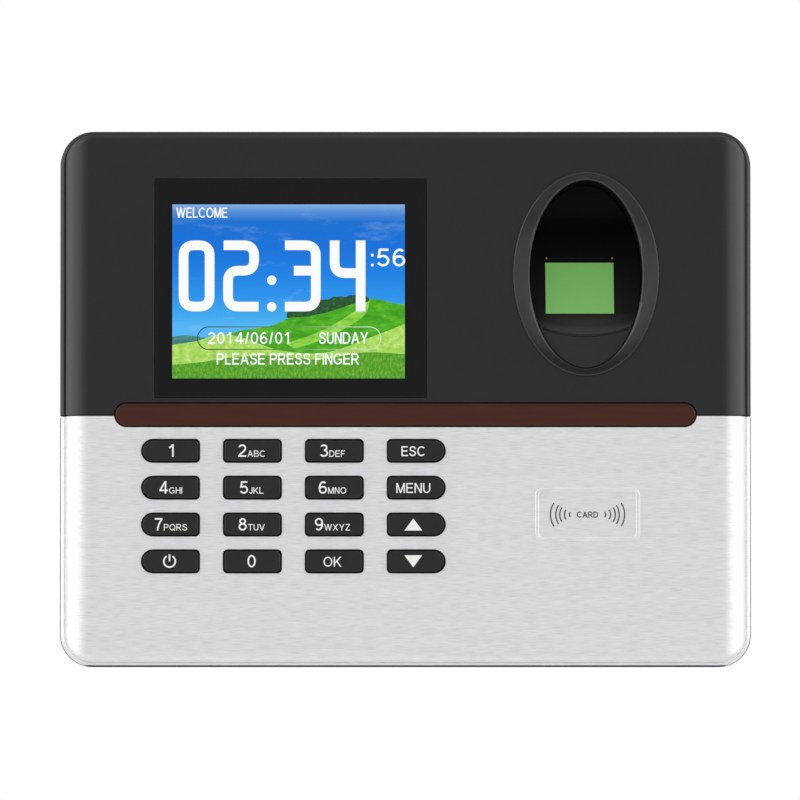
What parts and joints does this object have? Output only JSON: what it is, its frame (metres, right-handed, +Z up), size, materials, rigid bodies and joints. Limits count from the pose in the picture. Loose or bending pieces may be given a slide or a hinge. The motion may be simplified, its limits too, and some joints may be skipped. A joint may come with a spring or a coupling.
{
  "type": "fingerprint scanner terminal",
  "caption": "Wall-mounted access terminal with a colour display, numeric keypad, card reading area and a recessed optical finger sensor, hung on a steel plate.",
  "frame": {"origin": "centre of the wall plate's four screw holes, on the wall surface", "axes": "+X right, +Z up, +Y into the wall; the display, keys and finger well face -Y"},
  "size_m": [0.17, 0.0367, 0.132],
  "materials": {
    "black_cover": "satin black ABS with a very fine grain",
    "silver_cover": "silver film over ABS with fine horizontal brushing",
    "housing_black": "fine spark-textured black ABS",
    "screw_steel": "zinc plated steel",
    "brown_bar": "translucent dark brown acrylic",
    "green_board": "green solder mask on glass-epoxy",
    "led_white": "clear cap over yellow phosphor",
    "screen_gloss": "gloss acrylic with a black back print",
    "adhesive_tape": "thin double-sided tape",
    "black_foam": "closed-cell foam",
    "display_glass": "lit colour display under a polariser",
    "backlight_white": "white light guide stack",
    "can_steel": "tin plated sheet steel",
    "flex_amber": "amber polyimide flex",
    "flex_white": "white flat flexible cable",
    "bezel_black": "satin black plastic",
    "well_black": "matt black plastic",
    "platen_glass": "coated green-lit optical glass",
    "camera_black": "black lens barrel",
    "blue_board": "blue solder mask on glass-epoxy",
    "silicone_grey": "moulded silicone rubber",
    "copper_trace": "etched copper",
    "chip_black": "moulded epoxy",
    "jack_black": "glass-filled nylon",
    "terminal_green": "green nylon",
    "speaker_metal": "pressed steel frame and magnet cover",
    "speaker_paper": "treated paper cone",
    "battery_wrap": "blue heat-shrink wrap",
    "spring_steel": "spring wire",
    "plunger_white": "white acetal",
    "plate_steel": "zinc plated sheet steel",
    "key_black": "satin black key cap with a white printed legend"
  },
  "bodies": {
    "wall_bracket": {"wall_plate": "plate_steel", "lock_screw": "screw_steel"},
    "terminal": {"upper_cover": "black_cover", "lower_cover": "silver_cover", "rear_housing": "housing_black", "cover_screws": "screw_steel", "light_bar": "brown_bar", "light_board": "green_board", "light_leds": "led_white", "screen_lens": "screen_gloss", "lens_tape": "adhesive_tape", "lcd_gasket": "black_foam", "lcd_glass": "display_glass", "lcd_backlight": "backlight_white", "lcd_frame": "can_steel", "lcd_bracket": "housing_black", "lcd_ribbon": "flex_amber", "finger_bezel": "bezel_black", "finger_well": "well_black", "sensor_prism": "platen_glass", "sensor_case": "well_black", "sensor_camera": "camera_black", "sensor_leds": "led_white", "sensor_board": "blue_board", "module_screws": "screw_steel", "keypad_mat": "silicone_grey", "keypad_board": "green_board", "keypad_ribbon": "flex_white", "keypad_screws": "screw_steel", "card_board": "green_board", "card_coil": "copper_trace", "main_board": "green_board", "board_parts": "chip_black", "board_screws": "screw_steel", "lan_socket": "can_steel", "usb_socket": "can_steel", "dc_jack": "jack_black", "terminal_block": "terminal_green", "speaker_frame": "speaker_metal", "speaker_cone": "speaker_paper", "battery_pack": "battery_wrap", "tamper_switch": "jack_black", "tamper_spring": "spring_steel"},
    "key_1": {"key_1": "key_black"},
    "key_2": {"key_2": "key_black"},
    "key_3": {"key_3": "key_black"},
    "key_esc": {"key_esc": "key_black"},
    "key_4": {"key_4": "key_black"},
    "key_5": {"key_5": "key_black"},
    "key_6": {"key_6": "key_black"},
    "key_menu": {"key_menu": "key_black"},
    "key_7": {"key_7": "key_black"},
    "key_8": {"key_8": "key_black"},
    "key_9": {"key_9": "key_black"},
    "key_up": {"key_up": "key_black"},
    "key_power": {"key_power": "key_black"},
    "key_0": {"key_0": "key_black"},
    "key_ok": {"key_ok": "key_black"},
    "key_down": {"key_down": "key_black"},
    "tamper_plunger": {"tamper_plunger": "plunger_white"}
  },
  "joints": [
    {"name": "terminal_lift", "type": "slide", "parent": "wall_bracket", "child": "terminal", "axis": [0, 0, 1], "range_m": [0, 0.006]},
    {"name": "key_1_press", "type": "slide", "parent": "terminal", "child": "key_1", "axis": [0, 1, 0], "range_m": [0, 0.001], "stiffness_N_per_m": 500, "springref_m": -0.0006, "deforming": ["keypad_mat"]},
    {"name": "key_2_press", "type": "slide", "parent": "terminal", "child": "key_2", "axis": [0, 1, 0], "range_m": [0, 0.001], "stiffness_N_per_m": 500, "springref_m": -0.0006, "deforming": ["keypad_mat"]},
    {"name": "key_3_press", "type": "slide", "parent": "terminal", "child": "key_3", "axis": [0, 1, 0], "range_m": [0, 0.001], "stiffness_N_per_m": 500, "springref_m": -0.0006, "deforming": ["keypad_mat"]},
    {"name": "key_esc_press", "type": "slide", "parent": "terminal", "child": "key_esc", "axis": [0, 1, 0], "range_m": [0, 0.001], "stiffness_N_per_m": 500, "springref_m": -0.0006, "deforming": ["keypad_mat"]},
    {"name": "key_4_press", "type": "slide", "parent": "terminal", "child": "key_4", "axis": [0, 1, 0], "range_m": [0, 0.001], "stiffness_N_per_m": 500, "springref_m": -0.0006, "deforming": ["keypad_mat"]},
    {"name": "key_5_press", "type": "slide", "parent": "terminal", "child": "key_5", "axis": [0, 1, 0], "range_m": [0, 0.001], "stiffness_N_per_m": 500, "springref_m": -0.0006, "deforming": ["keypad_mat"]},
    {"name": "key_6_press", "type": "slide", "parent": "terminal", "child": "key_6", "axis": [0, 1, 0], "range_m": [0, 0.001], "stiffness_N_per_m": 500, "springref_m": -0.0006, "deforming": ["keypad_mat"]},
    {"name": "key_menu_press", "type": "slide", "parent": "terminal", "child": "key_menu", "axis": [0, 1, 0], "range_m": [0, 0.001], "stiffness_N_per_m": 500, "springref_m": -0.0006, "deforming": ["keypad_mat"]},
    {"name": "key_7_press", "type": "slide", "parent": "terminal", "child": "key_7", "axis": [0, 1, 0], "range_m": [0, 0.001], "stiffness_N_per_m": 500, "springref_m": -0.0006, "deforming": ["keypad_mat"]},
    {"name": "key_8_press", "type": "slide", "parent": "terminal", "child": "key_8", "axis": [0, 1, 0], "range_m": [0, 0.001], "stiffness_N_per_m": 500, "springref_m": -0.0006, "deforming": ["keypad_mat"]},
    {"name": "key_9_press", "type": "slide", "parent": "terminal", "child": "key_9", "axis": [0, 1, 0], "range_m": [0, 0.001], "stiffness_N_per_m": 500, "springref_m": -0.0006, "deforming": ["keypad_mat"]},
    {"name": "key_up_press", "type": "slide", "parent": "terminal", "child": "key_up", "axis": [0, 1, 0], "range_m": [0, 0.001], "stiffness_N_per_m": 500, "springref_m": -0.0006, "deforming": ["keypad_mat"]},
    {"name": "key_power_press", "type": "slide", "parent": "terminal", "child": "key_power", "axis": [0, 1, 0], "range_m": [0, 0.001], "stiffness_N_per_m": 500, "springref_m": -0.0006, "deforming": ["keypad_mat"]},
    {"name": "key_0_press", "type": "slide", "parent": "terminal", "child": "key_0", "axis": [0, 1, 0], "range_m": [0, 0.001], "stiffness_N_per_m": 500, "springref_m": -0.0006, "deforming": ["keypad_mat"]},
    {"name": "key_ok_press", "type": "slide", "parent": "terminal", "child": "key_ok", "axis": [0, 1, 0], "range_m": [0, 0.001], "stiffness_N_per_m": 500, "springref_m": -0.0006, "deforming": ["keypad_mat"]},
    {"name": "key_down_press", "type": "slide", "parent": "terminal", "child": "key_down", "axis": [0, 1, 0], "range_m": [0, 0.001], "stiffness_N_per_m": 500, "springref_m": -0.0006, "deforming": ["keypad_mat"]},
    {"name": "tamper_plunger_slide", "type": "slide", "parent": "terminal", "child": "tamper_plunger", "axis": [0, 1, 0], "range_m": [-0.0006, 0], "stiffness_N_per_m": 150, "springref_m": 0.001, "deforming": ["tamper_spring"]}
  ]
}
